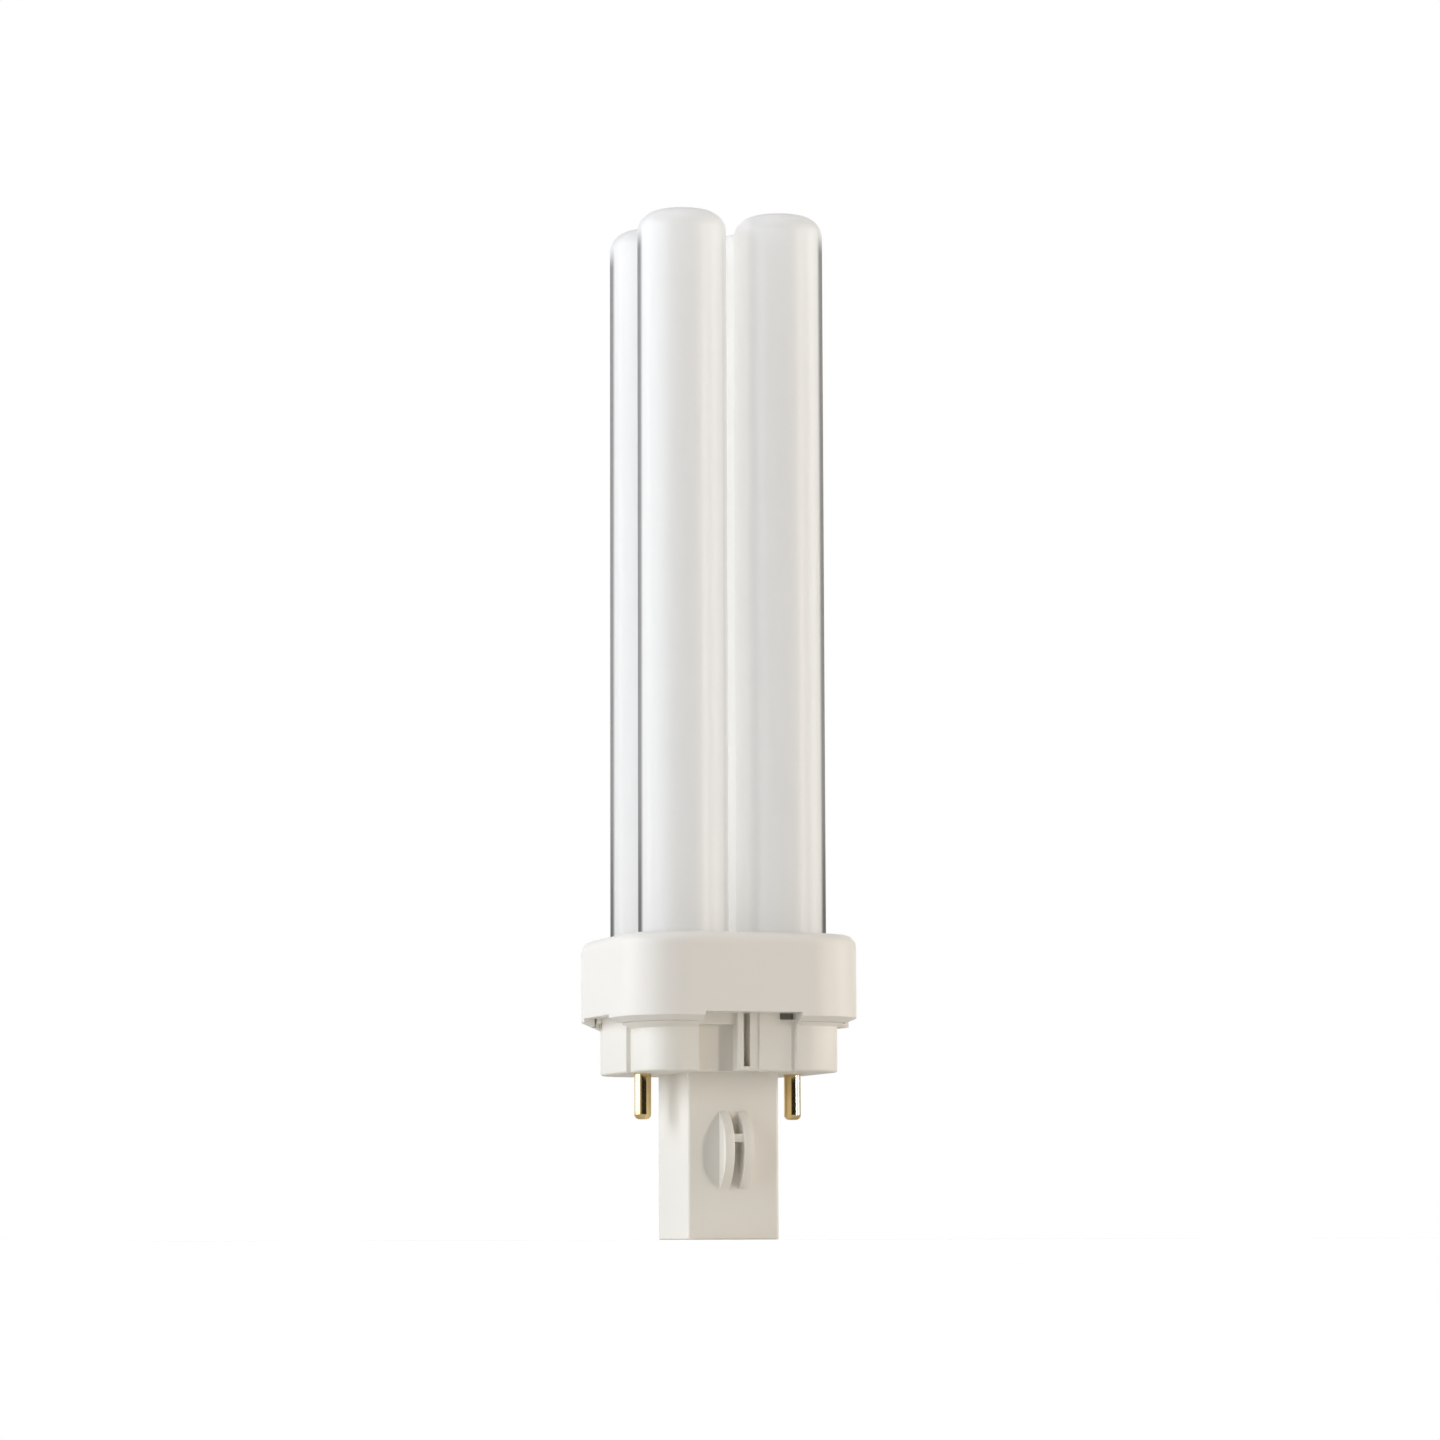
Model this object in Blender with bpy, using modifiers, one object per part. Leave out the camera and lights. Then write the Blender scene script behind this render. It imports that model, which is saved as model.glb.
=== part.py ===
# Two pin compact fluorescent lamp with four parallel limbs.
# The lamp stands on the end of its centre post. The origin is the middle of that end,
# +Z runs up the lamp, the contact pins lie along X and the keyed faces look along Y.

import math

import bmesh
import bpy
from mathutils import Matrix, Vector

MM = 0.001

# Glass discharge tube
overall_length = 146.1 * MM
limb_gap = 1.7 * MM
limb_shoulder = 3.3 * MM
limb_crown = 0.25 * MM
limb_foot_radius = 2.0 * MM
bridge_diameter = 6.4 * MM
top_bridge_drop = 8.5 * MM
low_bridge_rise = 6.5 * MM

# Centre post
post_length = 23.3 * MM
post_width = 13.4 * MM
post_depth = 14.9 * MM
post_wall = 1.3 * MM
post_floor = 1.4 * MM
post_corner = 0.5 * MM
post_edge = 0.25 * MM

# Retention fins on the front and back of the post
fin_chord = 10.9 * MM
fin_rise = 3.0 * MM
fin_thickness = 1.05 * MM
fin_gap = 2.3 * MM
fin_middle = 12.45 * MM
bar_height = 1.2 * MM
bar_middle = 14.1 * MM
bar_setback = 0.3 * MM

# Skirt with its key
skirt_setback = 3.35 * MM
skirt_height = 6.1 * MM
skirt_radius = 5.3 * MM
skirt_wall = 1.1 * MM
skirt_edge = 0.35 * MM
shoulder_plate = 1.5 * MM
block_step = 0.65 * MM
block_side_start = 3.9 * MM
side_notch_lead = 0.5 * MM
side_notch_margin = 0.35 * MM
key_width = 14.0 * MM
key_recess_depth = 2.4 * MM
key_rib_left = 1.4 * MM
key_rib_width = 0.9 * MM
key_slot_width = 1.0 * MM
key_slot_sill = 0.65 * MM
key_lip_width = 1.3 * MM
key_lip_depth = 0.3 * MM
key_ledge_rise = 0.4 * MM
key_ledge_depth = 0.8 * MM
key_window_width = 2.2 * MM
key_window_height = 0.8 * MM
key_window_depth = 0.9 * MM

# Flange that carries the collar
flange_rise = 1.5 * MM
spigot_wall = 1.2 * MM

# Collar
collar_width = 34.7 * MM
collar_margin = 3.8 * MM
collar_height = 11.65 * MM
collar_radius = 8.5 * MM
collar_wall = 1.6 * MM
collar_top_wall = 1.8 * MM
collar_fillet = 1.7 * MM
collar_notch_rise = 0.5 * MM
lug_length = 4.0 * MM
lug_offset = 7.0 * MM
lug_setback = 0.75 * MM
lug_drop = 1.2 * MM
lug_toe = 0.7 * MM
lug_toe_height = 0.7 * MM
lug_round = 0.25 * MM

# Contact pins
pin_setback = 2.9 * MM
pin_diameter = 2.4 * MM
pin_reach = 6.4 * MM
pin_inside = 2.4 * MM
pin_bore = 1.2 * MM
pin_bore_floor = 1.4 * MM
pin_bead = 0.25 * MM
pin_bead_height = 0.7 * MM
pin_seat_depth = 0.4 * MM
pin_tip_roundness = 0.8

# Fixing cement and the starter circuit in the post
foot_clearance = 1.0 * MM
foot_below_cement = 2.0 * MM
starter_share = 0.57
starter_gap = 0.5 * MM
starter_length = 17.0 * MM
starter_pinch = 4.6 * MM
capacitor_side_gap = 1.1 * MM
capacitor_height = 9.0 * MM
capacitor_edge = 1.2 * MM
capacitor_lead_spacing = 5.0 * MM
lead_diameter = 0.6 * MM
lead_spacing = 2.6 * MM
electrode_lead_spacing = 3.0 * MM
splice_spacing = 8.3 * MM
splice_setback = 4.3 * MM
splice_rise = 5.0 * MM
tap_rise = 1.0 * MM
capacitor_lead_bend = 1.8 * MM
pin_lead_bow = 1.4 * MM
lead_straight = 0.8 * MM
lead_entry = 2.4 * MM

# Room between neighbouring pieces
fit = 0.3 * MM

# Facets on round forms
limb_facets = 48
limb_shoulder_facets = 6
limb_foot_facets = 3
bridge_facets = 24
pin_facets = 24
pin_tip_facets = 4
starter_facets = 32
starter_shoulder_facets = 4
starter_end_facets = 8
capacitor_facets = 3
corner_facets = 8
fillet_facets = 4
edge_facets = 2
fin_facets = 72

# Heights worked out from the sizes above
shoulder_z = post_length
shoulder_plate_z = shoulder_z + shoulder_plate
skirt_top_z = shoulder_z + skirt_height
rim_z = skirt_top_z + flange_rise
notch_z = rim_z + collar_notch_rise
spigot_floor_z = notch_z + spigot_wall
foot_z = spigot_floor_z + foot_clearance
cement_bottom_z = foot_z + foot_below_cement
spigot_top_z = cement_bottom_z - fit
collar_top_z = rim_z + collar_height
collar_ceiling_z = collar_top_z - collar_top_wall
cement_top_z = collar_ceiling_z - fit
lug_bottom_z = rim_z - lug_drop
lug_toe_top_z = lug_bottom_z + lug_toe_height

# Half widths worked out from the collar's width
collar_half = collar_width / 2
collar_inside_half = collar_half - collar_wall
spigot_half = collar_inside_half - fit
lug_outer = collar_half - lug_setback
lug_inner = collar_inside_half - lug_toe
skirt_half = collar_half - skirt_setback
skirt_inside_half = skirt_half - skirt_wall
pin_offset = skirt_half - pin_setback
limb_radius = (collar_half - collar_margin - limb_gap / 2) / 2
limb_offset = limb_radius + limb_gap / 2

# Half widths of the other forms
key_half = key_width / 2
pin_radius = pin_diameter / 2
lead_radius = lead_diameter / 2

# The starter stands in front of the capacitor, and together they fill the depth of the post
post_inside_width = post_width - 2 * post_wall
post_inside_depth = post_depth - 2 * post_wall
starter_radius = starter_share * post_inside_depth / 2
starter_y = starter_radius + fit - post_inside_depth / 2
capacitor_thickness = post_inside_depth - 2 * starter_radius - starter_gap - 2 * fit
capacitor_y = (post_inside_depth - capacitor_thickness) / 2 - fit
capacitor_width = post_inside_width - 2 * capacitor_side_gap

# A cutter reaches this far past the face that it opens
overshoot = 1.0 * MM


def clear_scene():
    for item in list(bpy.data.objects):
        bpy.data.objects.remove(item, do_unlink=True)
    for group in list(bpy.data.collections):
        bpy.data.collections.remove(group)


def new_collection(name):
    group = bpy.data.collections.new(name)
    bpy.context.scene.collection.children.link(group)
    return group


def finish(name, colour, roughness, metallic=0.0):
    material = bpy.data.materials.new(name)
    material.use_nodes = True
    shader = material.node_tree.nodes["Principled BSDF"]
    shader.inputs["Base Color"].default_value = (*colour, 1.0)
    shader.inputs["Roughness"].default_value = roughness
    shader.inputs["Metallic"].default_value = metallic
    return material


def add_object(name, data, group):
    item = bpy.data.objects.new(name, data)
    group.objects.link(item)
    return item


def mesh_object(name, bm, group):
    mesh = bpy.data.meshes.new(name)
    bm.to_mesh(mesh)
    bm.free()
    mesh.shade_smooth()
    mesh.set_sharp_from_angle(angle=math.radians(30))
    return add_object(name, mesh, group)


def as_tool(item):
    item.hide_render = True
    item.display_type = "WIRE"
    return item


def boolean(target, tool, operation):
    modifier = target.modifiers.new(f"{operation.lower()} {tool.name}", "BOOLEAN")
    modifier.operation = operation
    modifier.solver = "EXACT"
    modifier.object = as_tool(tool)


def add_box(bm, low, high):
    # A box between two opposite corners
    size = [b - a for a, b in zip(low, high)]
    middle = [(a + b) / 2 for a, b in zip(low, high)]
    place = Matrix.Translation(middle) @ Matrix.Diagonal((*size, 1.0))
    bmesh.ops.create_cube(bm, size=1.0, matrix=place)


def add_rod(bm, centre, axis, radius, length, facets):
    # A closed cylinder with its middle at centre, along X, Y or Z
    turn = {
        "X": Matrix.Rotation(math.pi / 2, 4, "Y"),
        "Y": Matrix.Rotation(math.pi / 2, 4, "X"),
        "Z": Matrix.Identity(4),
    }[axis]
    bmesh.ops.create_cone(
        bm, cap_ends=True, segments=facets, radius1=radius, radius2=radius, depth=length,
        matrix=Matrix.Translation(centre) @ turn,
    )


def add_half_turn_copy(bm):
    # The base is the same from the back as from the front
    copied = bmesh.ops.duplicate(bm, geom=bm.verts[:] + bm.edges[:] + bm.faces[:])
    verts = [part for part in copied["geom"] if isinstance(part, bmesh.types.BMVert)]
    bmesh.ops.scale(bm, vec=(-1, -1, 1), verts=verts)


def level_face(bm, z):
    # The flat face that lies at height z
    flat = [face for face in bm.faces if abs(abs(face.normal.z) - 1) < 1e-4]
    return min(flat, key=lambda face: abs(face.calc_center_median().z - z))


def start_rounded_block(width, depth, radius, bottom, top):
    # A box with its four upright edges rounded
    bm = bmesh.new()
    add_box(bm, (-width / 2, -depth / 2, bottom), (width / 2, depth / 2, top))
    upright = [edge for edge in bm.edges if abs(edge.verts[0].co.z - edge.verts[1].co.z) > 1e-6]
    bmesh.ops.bevel(
        bm, geom=upright, offset=radius, segments=corner_facets, profile=0.5, affect="EDGES",
    )
    bm.normal_update()
    return bm


def round_rim(bm, z, radius, facets):
    # Rounds the edges all the way round the face at height z
    edges = list(level_face(bm, z).edges)
    bmesh.ops.bevel(bm, geom=edges, offset=radius, segments=facets, profile=0.5, affect="EDGES")
    bm.normal_update()


def draw_in(bm, z, inset, rise):
    # Draws the face at height z in by inset and moves it out along its normal by rise
    face = level_face(bm, z)
    bmesh.ops.inset_region(
        bm, faces=[face], thickness=inset, depth=rise, use_even_offset=True, use_boundary=True,
    )
    bm.normal_update()
    return face


def pull(bm, face, rise):
    # Extrudes a level face straight up or down
    pulled = bmesh.ops.extrude_face_region(bm, geom=[face])
    verts = [part for part in pulled["geom"] if isinstance(part, bmesh.types.BMVert)]
    bmesh.ops.translate(bm, vec=(0, 0, rise), verts=verts)
    bmesh.ops.delete(bm, geom=[face], context="FACES_ONLY")
    bm.normal_update()


def turned(name, profile, facets, group):
    # A profile of radius and height, from the top down its outer side, swept round Z
    mesh = bpy.data.meshes.new(name)
    points = [(radius, 0.0, z) for radius, z in profile]
    mesh.from_pydata(points, [(i, i + 1) for i in range(len(points) - 1)], [])
    item = add_object(name, mesh, group)
    screw = item.modifiers.new("turn", "SCREW")
    screw.axis = "Z"
    screw.angle = math.tau
    screw.steps = facets
    screw.render_steps = facets
    screw.use_merge_vertices = True
    screw.merge_threshold = 0.00001
    screw.use_smooth_shade = True
    return item


def arc(centre_r, centre_z, radius, start, end, steps):
    # Points on an arc in the turning plane, angles in degrees from straight out
    points = []
    for i in range(steps + 1):
        angle = math.radians(start + (end - start) * i / steps)
        points.append((centre_r + radius * math.cos(angle), centre_z + radius * math.sin(angle)))
    return points


def limb(name, x, y, group):
    top_z = overall_length - limb_crown - limb_shoulder
    bottom_z = foot_z + limb_foot_radius
    profile = [(0.0, overall_length)]
    profile += arc(limb_radius - limb_shoulder, top_z, limb_shoulder, 90, 0, limb_shoulder_facets)
    profile += arc(limb_radius - limb_foot_radius, bottom_z, limb_foot_radius, 0, -90, limb_foot_facets)
    profile += [(0.0, foot_z)]
    item = turned(name, profile, limb_facets, group)
    item.location = (x, y, 0.0)
    return item


def bridge(name, x, y, z, axis, group):
    # A short cross tube between two limbs, ending inside both of them
    bm = bmesh.new()
    add_rod(bm, (x, y, z), axis, bridge_diameter / 2, 2 * limb_offset - limb_radius, bridge_facets)
    return mesh_object(name, bm, group)


def make_discharge_tube(parts, tools, material):
    front, back = -limb_offset, limb_offset
    left, right = -limb_offset, limb_offset
    tube = limb("discharge_tube", left, front, parts)
    others = [
        limb("limb_right_front", right, front, tools),
        limb("limb_left_back", left, back, tools),
        limb("limb_right_back", right, back, tools),
        bridge("bridge_left", left, 0, overall_length - top_bridge_drop, "Y", tools),
        bridge("bridge_right", right, 0, overall_length - top_bridge_drop, "Y", tools),
        bridge("bridge_back", 0, back, collar_top_z + low_bridge_rise, "X", tools),
    ]
    for other in others:
        boolean(tube, other, "UNION")
    tube.data.materials.append(material)


def limb_holes(name, bottom, top, group):
    bm = bmesh.new()
    for x in (-limb_offset, limb_offset):
        for y in (-limb_offset, limb_offset):
            middle = (x, y, (bottom + top) / 2)
            add_rod(bm, middle, "Z", limb_radius + fit, top - bottom, limb_facets)
    return mesh_object(name, bm, group)


def flange_slope_z(half_width):
    # Height of the sloping underside where it is half_width from the middle
    share = (half_width - skirt_half) / (collar_half - skirt_half)
    return skirt_top_z + flange_rise * share


def side_notch(depth_to):
    # The box over the side of a corner block, where collar and flange leave its face open
    low = (-collar_half - overshoot, -block_side_start - side_notch_lead, skirt_top_z - fit)
    return low, (-depth_to, collar_half - collar_radius - side_notch_margin, notch_z)


def snap_lugs(tools):
    # Two hooks under the collar's sides, whose toes reach under the base housing's flange
    bm = bmesh.new()
    near, far = -lug_offset - lug_length / 2, -lug_offset + lug_length / 2
    stem_z = (lug_bottom_z + lug_toe_top_z) / 2
    add_box(bm, (collar_inside_half, near, stem_z), (lug_outer, far, rim_z + overshoot))
    add_half_turn_copy(bm)
    stems = mesh_object("lug_stems", bm, tools)
    bm = bmesh.new()
    add_box(bm, (lug_inner, near, lug_bottom_z), (lug_outer, far, lug_toe_top_z))
    round_rim(bm, lug_bottom_z, lug_round, edge_facets)
    add_half_turn_copy(bm)
    toes = mesh_object("lug_toes", bm, tools)
    return [stems, toes]


def lug_pockets(tools):
    # Pockets in the flange, each with a flat ledge for a lug's toe to hold
    bm = bmesh.new()
    near, far = -lug_offset - lug_length / 2 - fit, -lug_offset + lug_length / 2 + fit
    low = (lug_inner - fit, near, skirt_top_z - overshoot)
    add_box(bm, low, (collar_half, far, lug_toe_top_z + fit))
    add_half_turn_copy(bm)
    return mesh_object("lug_pockets", bm, tools)


def make_collar(parts, tools, material):
    # The rim slopes in across the wall, and from there the inside is drawn up to the ceiling
    bm = start_rounded_block(collar_width, collar_width, collar_radius, rim_z, collar_top_z)
    round_rim(bm, collar_top_z, collar_fillet, fillet_facets)
    slope_z = flange_slope_z(collar_inside_half)
    face = draw_in(bm, rim_z, collar_wall, rim_z - slope_z)
    pull(bm, face, collar_ceiling_z - slope_z)
    collar = mesh_object("collar", bm, parts)

    holes = limb_holes("collar_sockets", collar_ceiling_z - overshoot, collar_top_z + overshoot, tools)
    boolean(collar, holes, "DIFFERENCE")

    bm = bmesh.new()
    low = (-key_half, -collar_half - overshoot, skirt_top_z)
    add_box(bm, low, (key_half, -collar_inside_half + fit, notch_z))
    low, high = side_notch(collar_inside_half - fit)
    add_box(bm, low, high)
    add_half_turn_copy(bm)
    boolean(collar, mesh_object("collar_notches", bm, tools), "DIFFERENCE")

    for lug in snap_lugs(tools):
        boolean(collar, lug, "UNION")
    collar.data.materials.append(material)


def start_skirt():
    # Spigot, sloping flange and skirt as one solid body
    width = 2 * spigot_half
    radius = collar_radius - collar_wall - fit
    slope_z = flange_slope_z(spigot_half)
    bm = start_rounded_block(width, width, radius, slope_z, spigot_top_z)
    face = draw_in(bm, slope_z, spigot_half - skirt_half, slope_z - skirt_top_z)
    pull(bm, face, -skirt_height)
    round_rim(bm, shoulder_z, skirt_edge, edge_facets)
    return bm


def corner_blocks(tools):
    # Two opposite corners of the skirt stand proud of it
    width = 2 * (skirt_half + block_step)
    top = flange_slope_z(skirt_half + block_step) + fit
    bm = start_rounded_block(width, width, skirt_radius + block_step, shoulder_z, top)
    round_rim(bm, shoulder_z, skirt_edge, edge_facets)
    blocks = mesh_object("corner_blocks", bm, tools)
    bm = bmesh.new()
    low = (key_half, -width, shoulder_z - overshoot)
    add_box(bm, low, (width, block_side_start, top + overshoot))
    add_half_turn_copy(bm)
    boolean(blocks, mesh_object("corner_block_areas", bm, tools), "INTERSECT")
    return blocks


def fin(x, face_y):
    # A flat fin whose edge is an arc over its chord on the post
    bm = bmesh.new()
    radius = (fin_chord ** 2 / 4 + fin_rise ** 2) / (2 * fin_rise)
    centre = (x, face_y + radius - fin_rise, fin_middle)
    add_rod(bm, centre, "X", radius, fin_thickness, fin_facets)
    cut = bmesh.ops.bisect_plane(
        bm, geom=bm.verts[:] + bm.edges[:] + bm.faces[:], plane_co=(0, face_y + post_wall / 2, 0),
        plane_no=(0, 1, 0), clear_outer=True,
    )
    rim = [part for part in cut["geom_cut"] if isinstance(part, bmesh.types.BMEdge)]
    bmesh.ops.edgeloop_fill(bm, edges=rim)
    bmesh.ops.recalc_face_normals(bm, faces=bm.faces[:])
    return bm


def retention_fins(tools):
    # On the front and the back of the post, two fins joined by a cross bar
    face_y = -post_depth / 2
    fin_x = (fin_gap + fin_thickness) / 2
    fins = []
    for side in (-1, 1):
        bm = fin(side * fin_x, face_y)
        add_half_turn_copy(bm)
        fins.append(mesh_object(f"fins_{'left' if side < 0 else 'right'}", bm, tools))
    bm = bmesh.new()
    low = (-fin_x, face_y - fin_rise + bar_setback, bar_middle - bar_height / 2)
    add_box(bm, low, (fin_x, face_y + post_wall / 2, bar_middle + bar_height / 2))
    add_half_turn_copy(bm)
    bars = mesh_object("fin_bars", bm, tools)
    return fins + [bars]


def key_bosses(tools):
    # Walls behind the key recess and the key slot, inside the skirt
    bm = bmesh.new()
    back_y = -skirt_half + key_recess_depth + skirt_wall
    right = -key_rib_left + key_rib_width + key_slot_width + skirt_wall
    low = (-key_half - skirt_wall, -skirt_half + skirt_wall / 2, shoulder_z + shoulder_plate / 2)
    add_box(bm, low, (right, back_y, spigot_floor_z))
    add_half_turn_copy(bm)
    return mesh_object("key_bosses", bm, tools)


def key_cuts(tools):
    # Cuts from the outside: flange notches, recess, ledge, slot, lip and window
    front = -collar_half - overshoot
    floor = -skirt_half + key_recess_depth
    rib_right = -key_rib_left + key_rib_width
    slot_right = rib_right + key_slot_width
    ledge_z = skirt_top_z + key_ledge_rise
    under = shoulder_z - overshoot
    cuts = {
        "key_notches": ((-key_half, front, skirt_top_z - fit), (key_half, -skirt_half, notch_z)),
        "side_notches": side_notch(skirt_half + block_step),
        "key_recesses": ((-key_half, front, under), (-key_rib_left, floor, ledge_z)),
        "key_ledges": (
            (-key_half, front, ledge_z - fit), (-key_rib_left, -skirt_half + key_ledge_depth, notch_z),
        ),
        "key_slots": ((rib_right, front, shoulder_z + key_slot_sill), (slot_right, floor, notch_z)),
        "key_lips": (
            (slot_right - fit, front, under),
            (slot_right + key_lip_width, -skirt_half + key_lip_depth, notch_z),
        ),
        "key_windows": (
            (key_half - key_window_width, front, notch_z - key_window_height),
            (key_half, -skirt_half + key_window_depth, notch_z),
        ),
    }
    tools_made = []
    for name, (low, high) in cuts.items():
        bm = bmesh.new()
        add_box(bm, low, high)
        add_half_turn_copy(bm)
        tools_made.append(mesh_object(name, bm, tools))
    return tools_made


def housing_cavities(tools):
    # The skirt and the post are one open hollow, wider in the spigot
    inside = 2 * skirt_inside_half
    open_z = spigot_top_z + overshoot
    bm = start_rounded_block(inside, inside, skirt_radius - skirt_wall, shoulder_plate_z, open_z)
    skirt_inside = mesh_object("skirt_inside", bm, tools)

    inside = 2 * (spigot_half - spigot_wall)
    radius = collar_radius - collar_wall - fit - spigot_wall
    bm = start_rounded_block(inside, inside, radius, spigot_floor_z, open_z)
    spigot_inside = mesh_object("spigot_inside", bm, tools)

    bm = start_rounded_block(
        post_inside_width, post_inside_depth, post_corner, post_floor, shoulder_plate_z + overshoot
    )
    post_inside = mesh_object("post_inside", bm, tools)
    return [skirt_inside, spigot_inside, post_inside]


def pin_holes(tools):
    # Through the shoulder plate, with a round seat on top for the bead of each pin
    bm = bmesh.new()
    middle = (pin_offset, 0, shoulder_z + shoulder_plate / 2)
    add_rod(bm, middle, "Z", pin_radius + fit, shoulder_plate + 2 * overshoot, pin_facets)
    add_half_turn_copy(bm)
    holes = mesh_object("pin_holes", bm, tools)
    bm = bmesh.new()
    height = pin_seat_depth + pin_inside + overshoot
    middle = (pin_offset, 0, shoulder_plate_z - pin_seat_depth + height / 2)
    add_rod(bm, middle, "Z", pin_radius + pin_bead + fit, height, pin_facets)
    add_half_turn_copy(bm)
    return [holes, mesh_object("pin_seats", bm, tools)]


def make_base_housing(parts, tools, material):
    housing = mesh_object("base_housing", start_skirt(), parts)

    bm = start_rounded_block(post_width, post_depth, post_corner, 0.0, shoulder_z + shoulder_plate / 2)
    round_rim(bm, 0.0, post_edge, edge_facets)
    boolean(housing, mesh_object("post", bm, tools), "UNION")

    boolean(housing, corner_blocks(tools), "UNION")
    for piece in retention_fins(tools):
        boolean(housing, piece, "UNION")
    for cavity in housing_cavities(tools):
        boolean(housing, cavity, "DIFFERENCE")
    boolean(housing, key_bosses(tools), "UNION")
    for cutter in key_cuts(tools) + pin_holes(tools) + [lug_pockets(tools)]:
        boolean(housing, cutter, "DIFFERENCE")
    housing.data.materials.append(material)


def make_contact_pins(parts, material):
    # Tubular pins, closed and rounded at the tip, open at the top for the lead
    tip_z = shoulder_z - pin_reach
    top_z = shoulder_plate_z + pin_inside
    bead_z = shoulder_plate_z - pin_seat_depth + fit
    bead_radius = pin_radius + pin_bead
    round_off = pin_tip_roundness * pin_radius
    bore = pin_bore / 2
    profile = [
        (0.0, tip_z + pin_bore_floor),
        (bore, tip_z + pin_bore_floor + bore),
        (bore, top_z),
        (pin_radius, top_z),
        (pin_radius, bead_z + pin_bead_height),
        (bead_radius, bead_z + pin_bead_height - pin_bead),
        (bead_radius, bead_z + pin_bead),
        (pin_radius, bead_z),
    ]
    profile += arc(pin_radius - round_off, tip_z + round_off, round_off, 0, -90, pin_tip_facets)
    profile += [(0.0, tip_z)]
    for side, name in ((-1, "contact_pin_left"), (1, "contact_pin_right")):
        pin = turned(name, profile, pin_facets, parts)
        pin.location = (side * pin_offset, 0.0, 0.0)
        pin.data.materials.append(material)


def make_fixing_cement(parts, tools, material):
    width = 2 * (collar_inside_half - fit)
    radius = collar_radius - collar_wall - fit
    bm = start_rounded_block(width, width, radius, cement_bottom_z, cement_top_z)
    cement = mesh_object("fixing_cement", bm, parts)
    holes = limb_holes("cement_sockets", cement_bottom_z - overshoot, cement_top_z + overshoot, tools)
    boolean(cement, holes, "DIFFERENCE")
    cement.data.materials.append(material)


def make_starter_bulb(parts, material):
    # Sealed glass bulb with a round end down and its pinch on top
    bottom = post_floor + fit
    top = bottom + starter_length
    pinch = starter_pinch / 2
    profile = [(0.0, top), (pinch, top), (pinch, top - pinch)]
    neck = starter_radius - pinch
    profile += arc(pinch, top - 2 * pinch - neck, neck, 90, 0, starter_shoulder_facets)
    profile += arc(0.0, bottom + starter_radius, starter_radius, 0, -90, starter_end_facets)
    bulb = turned("starter_bulb", profile, starter_facets, parts)
    bulb.location = (0.0, starter_y, 0.0)
    bulb.data.materials.append(material)


def make_starter_capacitor(parts, material):
    # Dipped film capacitor, soft at all its edges
    bm = bmesh.new()
    bottom = post_floor + fit
    low = (-capacitor_width / 2, capacitor_y - capacitor_thickness / 2, bottom)
    high = (capacitor_width / 2, capacitor_y + capacitor_thickness / 2, bottom + capacitor_height)
    add_box(bm, low, high)
    bmesh.ops.bevel(
        bm, geom=bm.edges[:], offset=capacitor_edge, segments=capacitor_facets, profile=0.5,
        affect="EDGES",
    )
    capacitor = mesh_object("starter_capacitor", bm, parts)
    capacitor.data.materials.append(material)


def smooth_route(knots, spacing):
    # Points along a smooth curve through the knots, about one every spacing
    ends = [2 * knots[0] - knots[1]] + knots + [2 * knots[-1] - knots[-2]]
    route = [knots[0]]
    for before, start, end, after in zip(ends, ends[1:], ends[2:], ends[3:]):
        steps = max(1, round((end - start).length / spacing))
        for i in range(1, steps + 1):
            t = i / steps
            point = 0.5 * (
                2 * start + (end - before) * t
                + (2 * before - 5 * start + 4 * end - after) * t ** 2
                + (3 * start - before - 3 * end + after) * t ** 3
            )
            route.append(point)
    return route


def make_lead(name, knots, parts, material):
    # Bare round wire along a smooth route
    curve = bpy.data.curves.new(name, "CURVE")
    curve.dimensions = "3D"
    curve.bevel_depth = lead_radius
    curve.bevel_resolution = 2
    curve.use_fill_caps = True
    route = smooth_route([Vector(knot) for knot in knots], 5 * lead_radius)
    spline = curve.splines.new("POLY")
    spline.points.add(len(route) - 1)
    for point, place in zip(spline.points, route):
        point.co = (*place, 1.0)
    wire = add_object(name, curve, parts)
    wire.data.materials.append(material)


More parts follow.
